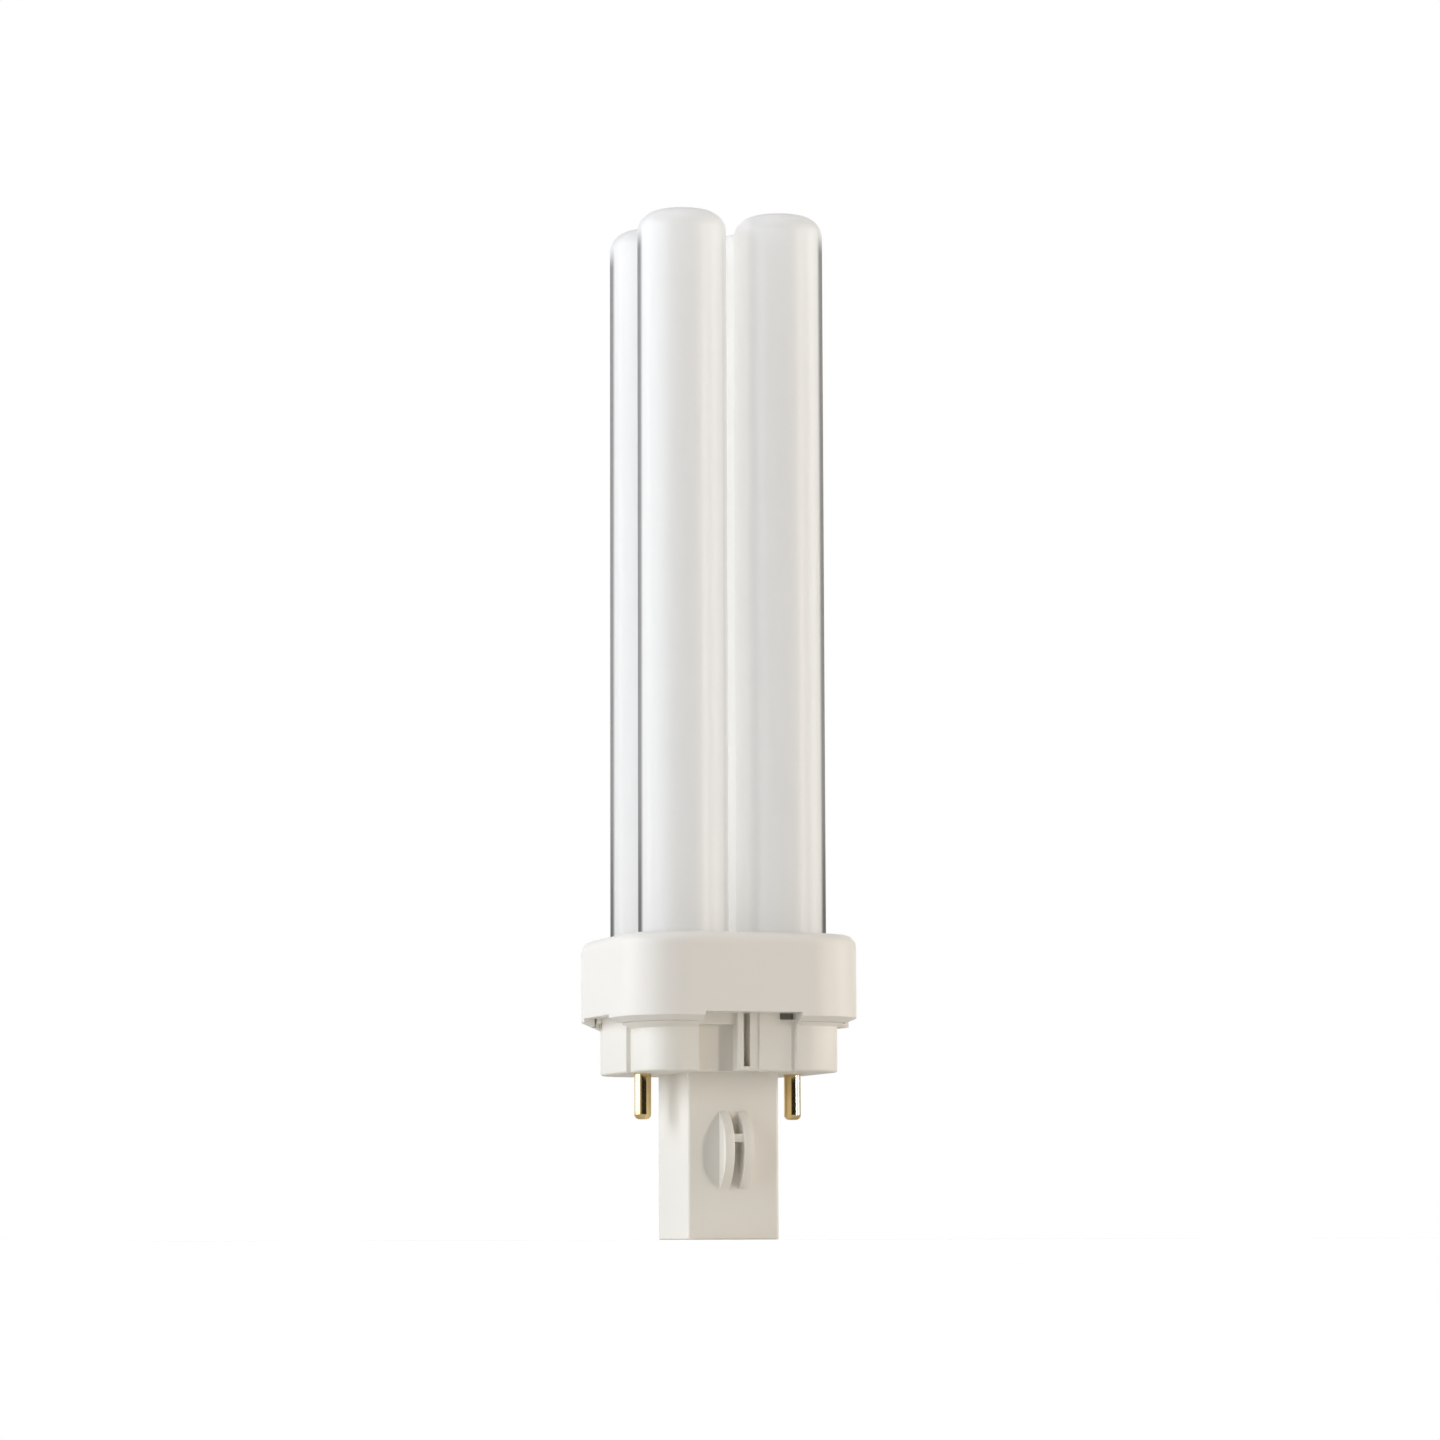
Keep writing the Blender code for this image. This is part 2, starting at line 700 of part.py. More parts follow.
def make_leads(parts, material):
    # Each limb with an electrode has two leads: one to its contact pin, one to the starter
    bottom = post_floor + fit
    starter_top = bottom + starter_length
    capacitor_top = bottom + capacitor_height
    splice_z = shoulder_plate_z + splice_rise
    tap_z = shoulder_plate_z + tap_rise
    foot = foot_z - fit
    pin_entry_z = shoulder_plate_z + pin_inside - pin_bore
    front = -limb_offset
    for side, hand in ((-1, "left"), (1, "right")):
        near = side * lead_spacing / 2
        splice_x = side * splice_spacing / 2
        make_lead(
            f"starter_lead_{hand}",
            [
                (near, starter_y, starter_top + fit),
                (near, starter_y, (starter_top + shoulder_plate_z) / 2),
                (near, starter_y, tap_z + fit),
                (splice_x, -splice_setback, splice_z),
            ],
            parts, material,
        )
        inner = side * (limb_offset - electrode_lead_spacing / 2)
        splice_end = splice_z + lead_diameter
        make_lead(
            f"return_lead_{hand}",
            [
                (inner, front, foot),
                (inner, front, foot - lead_straight),
                (splice_x, -splice_setback, splice_end + lead_straight),
                (splice_x, -splice_setback, splice_end),
            ],
            parts, material,
        )
        far = side * capacitor_lead_spacing / 2
        tap_y = starter_y + lead_diameter + fit
        make_lead(
            f"capacitor_lead_{hand}",
            [
                (far, capacitor_y, capacitor_top + fit),
                (far, capacitor_y, (capacitor_top + tap_z) / 2),
                (far, capacitor_y, tap_z - capacitor_lead_bend),
                (near, tap_y + lead_straight, tap_z),
                (near, tap_y, tap_z),
            ],
            parts, material,
        )
        outer = side * (limb_offset + electrode_lead_spacing / 2)
        pin_x = side * pin_offset
        make_lead(
            f"pin_lead_{hand}",
            [
                (outer, front, foot),
                (outer, front, foot - lead_straight),
                (pin_x, -pin_lead_bow, (foot + pin_entry_z) / 2),
                (pin_x, 0.0, pin_entry_z + lead_entry),
                (pin_x, 0.0, pin_entry_z),
            ],
            parts, material,
        )


def main():
    clear_scene()
    parts = new_collection("two_pin_compact_fluorescent_lamp")
    tools = new_collection("cutters_and_joined_forms")

    coated_glass = finish("coated glass", (0.86, 0.86, 0.85), 0.08)
    collar_plastic = finish("collar plastic", (0.78, 0.75, 0.71), 0.42)
    base_plastic = finish("base plastic", (0.76, 0.73, 0.69), 0.42)
    brass = finish("brass", (0.72, 0.52, 0.24), 0.22, 1.0)
    cement = finish("cement", (0.70, 0.68, 0.63), 0.9)
    starter_glass = finish("starter glass", (0.55, 0.58, 0.58), 0.1)
    capacitor_coat = finish("capacitor coat", (0.45, 0.16, 0.07), 0.35)
    tinned_wire = finish("tinned wire", (0.70, 0.70, 0.68), 0.3, 1.0)

    make_discharge_tube(parts, tools, coated_glass)
    make_collar(parts, tools, collar_plastic)
    make_base_housing(parts, tools, base_plastic)
    make_contact_pins(parts, brass)
    make_fixing_cement(parts, tools, cement)
    make_starter_bulb(parts, starter_glass)
    make_starter_capacitor(parts, capacitor_coat)
    make_leads(parts, tinned_wire)


main()
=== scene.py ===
# A plug-in compact fluorescent lamp on a pale table, lit by soft boxes
import math
import bmesh
import bpy
from mathutils import Matrix, Vector


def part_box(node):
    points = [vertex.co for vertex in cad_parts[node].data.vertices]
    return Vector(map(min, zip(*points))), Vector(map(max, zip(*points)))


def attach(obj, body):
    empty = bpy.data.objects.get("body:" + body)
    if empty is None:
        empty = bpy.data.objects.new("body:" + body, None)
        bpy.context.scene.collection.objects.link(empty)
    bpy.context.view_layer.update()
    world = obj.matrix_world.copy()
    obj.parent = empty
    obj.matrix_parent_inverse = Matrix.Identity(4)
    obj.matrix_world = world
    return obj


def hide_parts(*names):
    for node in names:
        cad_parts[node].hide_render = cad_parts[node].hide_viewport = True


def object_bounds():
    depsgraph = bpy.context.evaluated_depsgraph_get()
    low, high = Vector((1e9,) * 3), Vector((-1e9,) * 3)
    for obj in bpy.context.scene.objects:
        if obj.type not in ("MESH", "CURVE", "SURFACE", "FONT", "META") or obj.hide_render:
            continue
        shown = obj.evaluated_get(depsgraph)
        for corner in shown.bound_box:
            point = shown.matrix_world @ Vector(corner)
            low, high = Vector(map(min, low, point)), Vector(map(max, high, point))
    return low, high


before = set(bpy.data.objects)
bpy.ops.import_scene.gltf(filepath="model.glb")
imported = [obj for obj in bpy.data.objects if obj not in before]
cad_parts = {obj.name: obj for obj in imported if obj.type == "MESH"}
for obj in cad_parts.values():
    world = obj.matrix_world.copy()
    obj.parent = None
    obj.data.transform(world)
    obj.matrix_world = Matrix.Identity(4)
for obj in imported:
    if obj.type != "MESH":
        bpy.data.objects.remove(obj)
cadLow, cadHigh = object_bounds()
mm = 0.001

tubeLow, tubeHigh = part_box("discharge_tube")
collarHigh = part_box("collar")[1]
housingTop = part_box("base_housing")[1].z
pinLow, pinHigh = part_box("contact_pin_right")
pinX = (pinLow.x + pinHigh.x) / 2

tiny = 0.01 * mm                 # what is closer than this counts as level
past = 1.0 * mm                  # a cutter reaches this far past what it opens
fit = 0.3 * mm                   # play between pieces that go into each other


# Selecting and shaping

def focusOn(obj):
    if bpy.context.object and bpy.context.object.mode != "OBJECT":
        bpy.ops.object.mode_set(mode="OBJECT")
    bpy.ops.object.select_all(action="DESELECT")
    obj.select_set(True)
    bpy.context.view_layer.objects.active = obj


def settle(obj, name):
    # the place goes into the mesh, and the object stays at the origin
    focusOn(obj)
    bpy.ops.object.transform_apply(location=True, rotation=True, scale=True)
    obj.name = name
    obj.data.name = name
    return obj


def addBlock(name, low, high):
    size = [abs(b - a) for a, b in zip(low, high)]
    middle = [(a + b) / 2 for a, b in zip(low, high)]
    bpy.ops.object.select_all(action="DESELECT")
    bpy.ops.mesh.primitive_cube_add(size=1, location=middle, scale=size)
    return settle(bpy.context.object, name)


def addRod(name, middle, axis, radius, length, sides):
    turn = {"X": (0, math.pi / 2, 0), "Y": (math.pi / 2, 0, 0), "Z": (0, 0, 0)}[axis]
    bpy.ops.object.select_all(action="DESELECT")
    bpy.ops.mesh.primitive_cylinder_add(
        vertices=sides, radius=radius, depth=length, location=middle, rotation=turn
    )
    return settle(bpy.context.object, name)


def pick(obj, kind, test):
    # selects the edges or faces of obj that pass the test, in edit mode
    focusOn(obj)
    bpy.ops.object.mode_set(mode="EDIT")
    bpy.ops.mesh.select_mode(type=kind)
    bpy.ops.mesh.select_all(action="DESELECT")
    cage = bmesh.from_edit_mesh(obj.data)
    parts = cage.edges if kind == "EDGE" else cage.faces
    for part in [p for p in parts if test(p)]:
        part.select_set(True)
    bmesh.update_edit_mesh(obj.data)


def objectMode():
    bpy.ops.object.mode_set(mode="OBJECT")


def roundEdges(obj, test, radius, segments):
    pick(obj, "EDGE", test)
    bpy.ops.mesh.bevel(offset=radius, segments=segments, profile=0.5, affect="EDGES")
    objectMode()


def upright(edge):
    a, b = (v.co for v in edge.verts)
    return abs(a.x - b.x) < tiny and abs(a.y - b.y) < tiny


def levelAt(z):
    def test(part):
        return all(abs(v.co.z - z) < tiny for v in part.verts)
    return test


def addRoundedBlock(name, width, depth, radius, low, high, segments=20):
    block = addBlock(name, (-width / 2, -depth / 2, low), (width / 2, depth / 2, high))
    roundEdges(block, upright, radius, segments)
    return block


def drawIn(obj, z, inset, rise):
    # the flat face at height z is drawn in and moved down by rise
    pick(obj, "FACE", levelAt(z))
    bpy.ops.mesh.inset(thickness=inset, depth=rise)
    objectMode()


def pullFace(obj, z, newZ):
    # the flat face at height z is extruded to the height newZ
    pick(obj, "FACE", levelAt(z))
    bpy.ops.mesh.extrude_region_move(TRANSFORM_OT_translate={"value": (0, 0, newZ - z)})
    objectMode()


def joinTo(obj, tool, operation="UNION"):
    focusOn(obj)
    change = obj.modifiers.new("join", "BOOLEAN")
    change.operation = operation
    change.solver = "EXACT"
    change.object = tool
    bpy.ops.object.modifier_apply(modifier=change.name)
    bpy.data.objects.remove(tool, do_unlink=True)


def cutFrom(obj, tool):
    joinTo(obj, tool, "DIFFERENCE")


def bothSides(low, high):
    # the box and its half-turn copy, for the front and for the back
    yield low, high
    yield tuple(-b for b in high[:2]) + (low[2],), tuple(-a for a in low[:2]) + (high[2],)


def dropSpecks(obj):
    # the cuts leave tiny edges and needless ones in flat faces, which would spoil a bevel
    speck = 0.03 * mm
    focusOn(obj)
    bpy.ops.object.mode_set(mode="EDIT")
    bpy.ops.mesh.select_all(action="SELECT")
    bpy.ops.mesh.remove_doubles(threshold=speck)
    bpy.ops.mesh.dissolve_degenerate(threshold=speck)
    bpy.ops.mesh.dissolve_limited(angle_limit=math.radians(0.5), delimit={"NORMAL"})
    bpy.ops.mesh.select_all(action="DESELECT")
    objectMode()


def softenEdges(obj, width, clamp=True):
    dropSpecks(obj)
    bevel = obj.modifiers.new("soft edges", "BEVEL")
    bevel.width = width
    bevel.segments = 2
    bevel.limit_method = "ANGLE"
    bevel.angle_limit = math.radians(30)
    bevel.use_clamp_overlap = clamp
    bevel.miter_outer = "MITER_ARC"
    bpy.ops.object.modifier_apply(modifier=bevel.name)


def tidyMesh(obj, angle=35):
    focusOn(obj)
    bpy.ops.object.mode_set(mode="EDIT")
    bpy.ops.mesh.select_all(action="SELECT")
    bpy.ops.mesh.remove_doubles(threshold=0.002 * mm)
    bpy.ops.mesh.dissolve_degenerate(threshold=0.001 * mm)
    bpy.ops.mesh.normals_make_consistent(inside=False)
    objectMode()
    bpy.ops.object.shade_smooth_by_angle(angle=math.radians(angle))
    weigh = obj.modifiers.new("weighted normals", "WEIGHTED_NORMAL")
    weigh.keep_sharp = True
    weigh.weight = 60
    bpy.ops.object.modifier_apply(modifier=weigh.name)


def growRings(name, x, y, rings, sides):
    # starts as a disc and is extruded ring by ring; rings are (radius, height)
    radius, height = rings[0]
    bpy.ops.object.select_all(action="DESELECT")
    bpy.ops.mesh.primitive_circle_add(
        vertices=sides, radius=radius, fill_type="NGON", location=(x, y, height)
    )
    obj = settle(bpy.context.object, name)
    bpy.ops.object.mode_set(mode="EDIT")
    bpy.ops.mesh.select_mode(type="FACE")
    bpy.ops.mesh.select_all(action="SELECT")
    for nextRadius, nextHeight in rings[1:]:
        bpy.ops.mesh.extrude_region_move(
            TRANSFORM_OT_translate={"value": (0, 0, nextHeight - height)}
        )
        share = nextRadius / radius
        bpy.ops.transform.resize(value=(share, share, 1), center_override=(x, y, nextHeight))
        radius, height = nextRadius, nextHeight
    bpy.ops.mesh.select_all(action="SELECT")
    bpy.ops.mesh.normals_make_consistent(inside=False)
    objectMode()
    return obj


def arcRings(radius, height, size, start, end, steps):
    # rings along an arc in the turning plane, angles in degrees from straight out
    rings = []
    for i in range(steps + 1):
        angle = math.radians(start + (end - start) * i / steps)
        rings.append((radius + size * math.cos(angle), height + size * math.sin(angle)))
    return rings


# Discharge tube

tube = {
    "limbDiameter": 12.7 * mm,
    "shoulder": 2.9 * mm,        # radius at the end of each limb
    "crown": 0.25 * mm,          # how far the end domes past its shoulder
    "footRadius": 2.0 * mm,
    "footInset": 1.5 * mm,       # the flat end of the foot is smaller by this
    "bridgeDiameter": 6.4 * mm,
    "bridgeFlare": 0.7 * mm,     # where a bridge runs out into a limb
    "flareTurn": 80,             # degrees that the flare turns through
    "topBridgeDrop": 8.5 * mm,
    "lowBridgeRise": 6.5 * mm,
    "sides": 96,
    "bridgeSides": 64,
}

limbX = (tubeHigh.x - tubeLow.x - tube["limbDiameter"]) / 2     # from the middle to each limb


def growLimb(name, x, y):
    radius = tube["limbDiameter"] / 2
    foot, shoulder = tube["footRadius"], tube["shoulder"]
    top = tubeHigh.z - tube["crown"]
    rings = [(radius - foot - tube["footInset"], tubeLow.z)]
    rings += arcRings(radius - foot, tubeLow.z + foot, foot, -90, 0, steps=6)
    rings += arcRings(radius - shoulder, top - shoulder, shoulder, 0, 90, steps=12)
    for share in (0.66, 0.33, 0.05):   # the end domes very slightly
        rings.append(((radius - shoulder) * share, top + tube["crown"] * (1 - share ** 2)))
    return growRings(name, x, y, rings, tube["sides"])


def addBridge(name, middle, axis):
    # a short cross tube that flares where it meets the two limbs
    radius, flare = tube["bridgeDiameter"] / 2, tube["bridgeFlare"]
    limbRadius = tube["limbDiameter"] / 2
    steps = 6
    bridge = addRod(name, (0, 0, 0), "Z", radius, 1.0, tube["bridgeSides"])
    pick(bridge, "EDGE", upright)
    bpy.ops.mesh.subdivide(number_cuts=2 * steps + 1)
    objectMode()
    for vertex in bridge.data.vertices:
        angle = math.atan2(vertex.co.y, vertex.co.x)
        row = round(vertex.co.z * (2 * steps + 2))          # -7 to 7
        side, count = (1 if row > 0 else -1), abs(row)
        turn = math.radians(tube["flareTurn"]) * min(count, steps) / steps
        wide = radius + flare * (1 - math.cos(turn))
        reach = math.sqrt(limbRadius ** 2 - (wide * math.cos(angle)) ** 2)
        along = limbX - reach - flare * (1 - math.sin(turn)) if count else 0.0
        if count > steps:
            along = limbX
        vertex.co = Vector((wide * math.cos(angle), wide * math.sin(angle), side * along))
    tilt = Matrix.Rotation(math.pi / 2, 4, "X")
    if axis == "X":
        tilt = Matrix.Rotation(math.pi / 2, 4, "Z") @ tilt
    bridge.data.transform(Matrix.Translation(middle) @ tilt)
    return bridge


def makeDischargeTube():
    glass = growLimb("dischargeTube", -limbX, -limbX)
    for x, y in ((limbX, -limbX), (-limbX, limbX), (limbX, limbX)):
        joinTo(glass, growLimb("limb", x, y))
    topZ = tubeHigh.z - tube["topBridgeDrop"]
    lowZ = collarHigh.z + tube["lowBridgeRise"]
    joinTo(glass, addBridge("bridge", (-limbX, 0, topZ), "Y"))
    joinTo(glass, addBridge("bridge", (limbX, 0, topZ), "Y"))
    joinTo(glass, addBridge("bridge", (0, limbX, lowZ), "X"))
    tidyMesh(glass, angle=50)
    return glass


# Collar

collar = {
    "rimZ": 30.9 * mm,           # lower edge of the upright wall
    "radius": 8.5 * mm,
    "wall": 1.6 * mm,
    "topWall": 1.8 * mm,
    "fillet": 1.7 * mm,
    "notchRise": 0.5 * mm,
    "socketGap": 0.3 * mm,
    "lugLength": 4.0 * mm,
    "lugOffset": 7.0 * mm,
    "lugSetback": 0.75 * mm,
    "lugDrop": 1.2 * mm,
    "lugToe": 0.7 * mm,
    "lugToeHeight": 0.7 * mm,
    "softEdge": 0.12 * mm,
}


def sideNotch(depthTo):
    # the cut beside a corner block, where collar and flange leave its side open
    near = -base["blockSideStart"] - base["notchLead"]
    far = collarHigh.x - collar["radius"] - base["notchMargin"]
    bottom = base["shoulderZ"] + base["skirtHeight"] - fit
    top = collar["rimZ"] + collar["notchRise"]
    return (-collarHigh.x - past, near, bottom), (-depthTo, far, top)


def makeCollar():
    half = collarHigh.x
    slopeTop = collar["rimZ"]
    insideHalf = half - collar["wall"]
    ceiling = collarHigh.z - collar["topWall"]
    # the rim slopes in across the wall, and from there the inside is drawn up
    shell = addRoundedBlock(
        "collarShell", 2 * half, 2 * half, collar["radius"], slopeTop, collarHigh.z, segments=28
    )
    roundEdges(shell, levelAt(collarHigh.z), collar["fillet"], segments=8)
    drop = base["slopeRise"] * collar["wall"] / (half - base["skirtWidth"] / 2)
    drawIn(shell, slopeTop, collar["wall"], drop)
    pullFace(shell, slopeTop - drop, ceiling)
    socket = tube["limbDiameter"] / 2 + collar["socketGap"]
    deep = 2 * collar["topWall"]
    for x in (-limbX, limbX):
        for y in (-limbX, limbX):
            middle = (x, y, (ceiling + collarHigh.z) / 2)
            cutFrom(shell, addRod("socket", middle, "Z", socket, deep, tube["sides"]))
    notchTop = slopeTop + collar["notchRise"]
    low = (-key["width"] / 2, -half - past, base["shoulderZ"])
    high = (key["width"] / 2, -insideHalf + fit, notchTop)
    for corners in bothSides(low, high):
        cutFrom(shell, addBlock("notch", *corners))
    for corners in bothSides(*sideNotch(insideHalf - fit)):
        cutFrom(shell, addBlock("notch", *corners))

    # the snap lug, a stem with a toe that goes under the base
    bottom = slopeTop - collar["lugDrop"]
    toeTop = bottom + collar["lugToeHeight"]
    near = -collar["lugOffset"] - collar["lugLength"] / 2
    far = near + collar["lugLength"]
    outer = half - collar["lugSetback"]
    stem = (insideHalf, near, (bottom + toeTop) / 2), (outer, far, slopeTop + past)
    toe = (insideHalf - collar["lugToe"], near, bottom), (outer, far, toeTop)
    for corners in (stem, toe):
        joinTo(shell, addBlock("lug", *corners))
    softenEdges(shell, collar["softEdge"])
    tidyMesh(shell)
    return shell


# Base housing

base = {
    "shoulderZ": 23.3 * mm,      # underside of the skirt
    "skirtWidth": 28.0 * mm,
    "skirtHeight": 6.1 * mm,
    "skirtRadius": 5.3 * mm,
    "skirtWall": 1.1 * mm,
    "skirtEdge": 0.35 * mm,
    "plate": 1.5 * mm,
    "slopeRise": 1.5 * mm,
    "blockStep": 0.65 * mm,      # two opposite corners stand proud by this
    "blockSideStart": 3.9 * mm,
    "notchLead": 0.5 * mm,       # the side notch starts this far before the block
    "notchMargin": 0.35 * mm,
    "spigotWall": 1.2 * mm,
    "postWidth": 13.4 * mm,
    "postDepth": 14.9 * mm,
    "postWall": 1.3 * mm,
    "postFloor": 1.4 * mm,
    "postCorner": 0.5 * mm,
    "postEdge": 0.25 * mm,
    "softEdge": 0.1 * mm,
}

key = {
    "width": 14.0 * mm,
    "recessDepth": 2.4 * mm,
    "ribLeft": 1.4 * mm,
    "ribWidth": 0.9 * mm,
    "slotWidth": 1.0 * mm,
    "slotSill": 0.65 * mm,
    "lipWidth": 1.3 * mm,
    "lipDepth": 0.3 * mm,
    "ledgeRise": 0.4 * mm,
    "ledgeDepth": 0.8 * mm,
    "windowWidth": 2.2 * mm,
    "windowHeight": 0.9 * mm,
    "windowDepth": 1.5 * mm,     # through the skirt's wall
}

fins = {
    "chord": 10.9 * mm,
    "rise": 3.0 * mm,
    "thickness": 1.4 * mm,
    "gap": 1.4 * mm,
    "middleZ": 12.45 * mm,
    "barHeight": 1.2 * mm,
    "barZ": 14.1 * mm,
    "barSetback": 0.58 * mm,
    "sides": 156,                # so that one of them ends just at the post's face
}


def addSkirt(half, spigotHalf, spigotTop):
    slopeZ = base["shoulderZ"] + base["skirtHeight"]
    share = (spigotHalf - half) / (collarHigh.x - half)
    rise = base["slopeRise"] * share
    radius = collar["radius"] - collar["wall"] - fit
    width = 2 * spigotHalf
    body = addRoundedBlock("baseHousing", width, width, radius, slopeZ + rise, spigotTop)
    drawIn(body, slopeZ + rise, spigotHalf - half, rise)
    pullFace(body, slopeZ, base["shoulderZ"])
    roundEdges(body, levelAt(base["shoulderZ"]), base["skirtEdge"], segments=4)
    return body


def addBlocks(half):
    # the two corners that stand proud
    step = base["blockStep"]
    rise = step * base["slopeRise"] / (collarHigh.x - half)
    top = base["shoulderZ"] + base["skirtHeight"] + rise + fit
    width = 2 * (half + step)
    blocks = addRoundedBlock(
        "blocks", width, width, base["skirtRadius"] + step, base["shoulderZ"], top
    )
    roundEdges(blocks, levelAt(base["shoulderZ"]), base["skirtEdge"], segments=4)
    reach = 2 * half
    keyHalf, start = key["width"] / 2, base["blockSideStart"]
    keep = addBlock("keep", (keyHalf, -reach, 0), (reach, start, reach * 2))
    joinTo(keep, addBlock("keep", (-reach, -start, 0), (-keyHalf, reach, reach * 2)))
    joinTo(blocks, keep, "INTERSECT")
    return blocks


def addFin(x, side):
    face = base["postDepth"] / 2
    radius = (fins["chord"] ** 2 / 4 + fins["rise"] ** 2) / (2 * fins["rise"])
    fin = addRod(
        "fin", (x, side * (face - radius + fins["rise"]), fins["middleZ"]), "X",
        radius, fins["thickness"], fins["sides"],
    )
    inner = side * (face - base["postWall"] / 2)
    pick(fin, "FACE", lambda part: True)
    bpy.ops.mesh.bisect(
        plane_co=(0, inner, 0), plane_no=(0, -side, 0), use_fill=True, clear_outer=True
    )
    objectMode()
    return fin


def makeBaseHousing():
    half = base["skirtWidth"] / 2
    spigotHalf = collarHigh.x - collar["wall"] - fit
    shoulder = base["shoulderZ"]
    plateZ = shoulder + base["plate"]
    slopeZ = shoulder + base["skirtHeight"]
    notchTop = collar["rimZ"] + collar["notchRise"]
    floorZ = notchTop + base["spigotWall"]
    body = addSkirt(half, spigotHalf, housingTop)

    # post, proud corners, fins and their bars
    post = addRoundedBlock(
        "post", base["postWidth"], base["postDepth"], base["postCorner"],
        0.0, shoulder + base["plate"] / 2, segments=6,
    )
    roundEdges(post, levelAt(0.0), base["postEdge"], segments=3)
    joinTo(body, post)
    joinTo(body, addBlocks(half))
    finX = (fins["gap"] + fins["thickness"]) / 2
    face = base["postDepth"] / 2
    for x in (-finX, finX):
        for side in (-1, 1):
            joinTo(body, addFin(x, side))
    barHalf = fins["barHeight"] / 2
    low = (-finX, -face - fins["rise"] + fins["barSetback"], fins["barZ"] - barHalf)
    high = (finX, -face + base["postWall"] / 2, fins["barZ"] + barHalf)
    for corners in bothSides(low, high):
        joinTo(body, addBlock("bar", *corners))

    # skirt, spigot and post are hollowed from above
    inside = half - base["skirtWall"]
    openZ = housingTop + past
    radius = base["skirtRadius"] - base["skirtWall"]
    cutFrom(body, addRoundedBlock("inside", 2 * inside, 2 * inside, radius, plateZ, openZ))
    inside = spigotHalf - base["spigotWall"]
    radius = collar["radius"] - collar["wall"] - fit - base["spigotWall"]
    cutFrom(body, addRoundedBlock("inside", 2 * inside, 2 * inside, radius, floorZ, openZ))
    width, depth = (base[size] - 2 * base["postWall"] for size in ("postWidth", "postDepth"))
    cutFrom(body, addRoundedBlock(
        "inside", width, depth, base["postCorner"], base["postFloor"], plateZ + past, segments=4
    ))

    # the key, front and back: walls behind it first, then its cuts
    keyHalf = key["width"] / 2
    floorY = -half + key["recessDepth"]
    ribRight = -key["ribLeft"] + key["ribWidth"]
    slotRight = ribRight + key["slotWidth"]
    boss = (
        (-keyHalf - base["skirtWall"], -half + base["skirtWall"] / 2, shoulder + base["plate"] / 2),
        (slotRight + base["skirtWall"], floorY + base["skirtWall"], floorZ),
    )
    for corners in bothSides(*boss):
        joinTo(body, addBlock("boss", *corners))
    front = -2 * half                # well in front of the skirt
    ledgeZ = slopeZ + key["ledgeRise"]
    cuts = [
        # flange over the key, flange beside the proud corner
        ((-keyHalf, front, slopeZ - fit), (keyHalf, -half, notchTop)),
        sideNotch(half + base["blockStep"]),
        # recess, and the ledge over it
        ((-keyHalf, front, shoulder - past), (-key["ribLeft"], floorY, ledgeZ)),
        ((-keyHalf, front, ledgeZ - fit), (-key["ribLeft"], -half + key["ledgeDepth"], notchTop)),
        # slot, lip and window
        ((ribRight, front, shoulder + key["slotSill"]), (slotRight, floorY, notchTop)),
        ((slotRight - fit, front, shoulder - past),
         (slotRight + key["lipWidth"], -half + key["lipDepth"], notchTop)),
        ((keyHalf - key["windowWidth"], front, notchTop - key["windowHeight"]),
         (keyHalf, -half + key["windowDepth"], notchTop)),
    ]
    # room for the collar's lug
    toeTop = collar["rimZ"] - collar["lugDrop"] + collar["lugToeHeight"]
    near = -collar["lugOffset"] - collar["lugLength"] / 2 - fit
    cuts.append((
        (collarHigh.x - collar["wall"] - collar["lugToe"] - fit, near, slopeZ - past),
        (collarHigh.x, near + collar["lugLength"] + 2 * fit, toeTop + fit),
    ))
    for low, high in cuts:
        for corners in bothSides(low, high):
            cutFrom(body, addBlock("cut", *corners))

    # the pins' holes and the seats of their beads
    hole = pin["diameter"] / 2 + fit
    seat = hole + pin["bead"]
    for x in (-pinX, pinX):
        cutFrom(body, addRod("hole", (x, 0, shoulder), "Z", hole, 4 * base["plate"], pin["sides"]))
        deep = 2 * (past + pin["seatDepth"])
        cutFrom(body, addRod("seat", (x, 0, plateZ + past), "Z", seat, deep, pin["sides"]))
    softenEdges(body, base["softEdge"], clamp=False)
    tidyMesh(body)
    return body


# Contact pins

pin = {
    "diameter": 2.4 * mm,
    "tipRound": 0.7 * mm,
    "tipFlat": 0.06 * mm,
    "bore": 1.2 * mm,
    "boreFloor": 1.4 * mm,
    "boreFlat": 0.05 * mm,
    "bead": 0.25 * mm,
    "beadHeight": 0.7 * mm,
    "beadDrop": 0.1 * mm,        # how far the bead reaches down into its seat
    "seatDepth": 0.4 * mm,
    "sides": 64,
}


def makePin(name, x):
    radius, bore = pin["diameter"] / 2, pin["bore"] / 2
    tip, top = pinLow.z, pinHigh.z
    beadZ = base["shoulderZ"] + base["plate"] - pin["beadDrop"]
    rounding = pin["tipRound"]
    rings = [(pin["tipFlat"], tip)]
    rings += arcRings(radius - rounding, tip + rounding, rounding, -90, 0, steps=10)
    rings += [
        (radius, beadZ),
        (radius + pin["bead"], beadZ + pin["bead"]),
        (radius + pin["bead"], beadZ + pin["beadHeight"] - pin["bead"]),
        (radius, beadZ + pin["beadHeight"]),
        (radius, top), (bore, top),
        (bore, tip + pin["boreFloor"] + bore),
        (pin["boreFlat"], tip + pin["boreFloor"]),
    ]
    piece = growRings(name, x, 0, rings, pin["sides"])
    tidyMesh(piece, angle=40)
    return piece


# Finishes

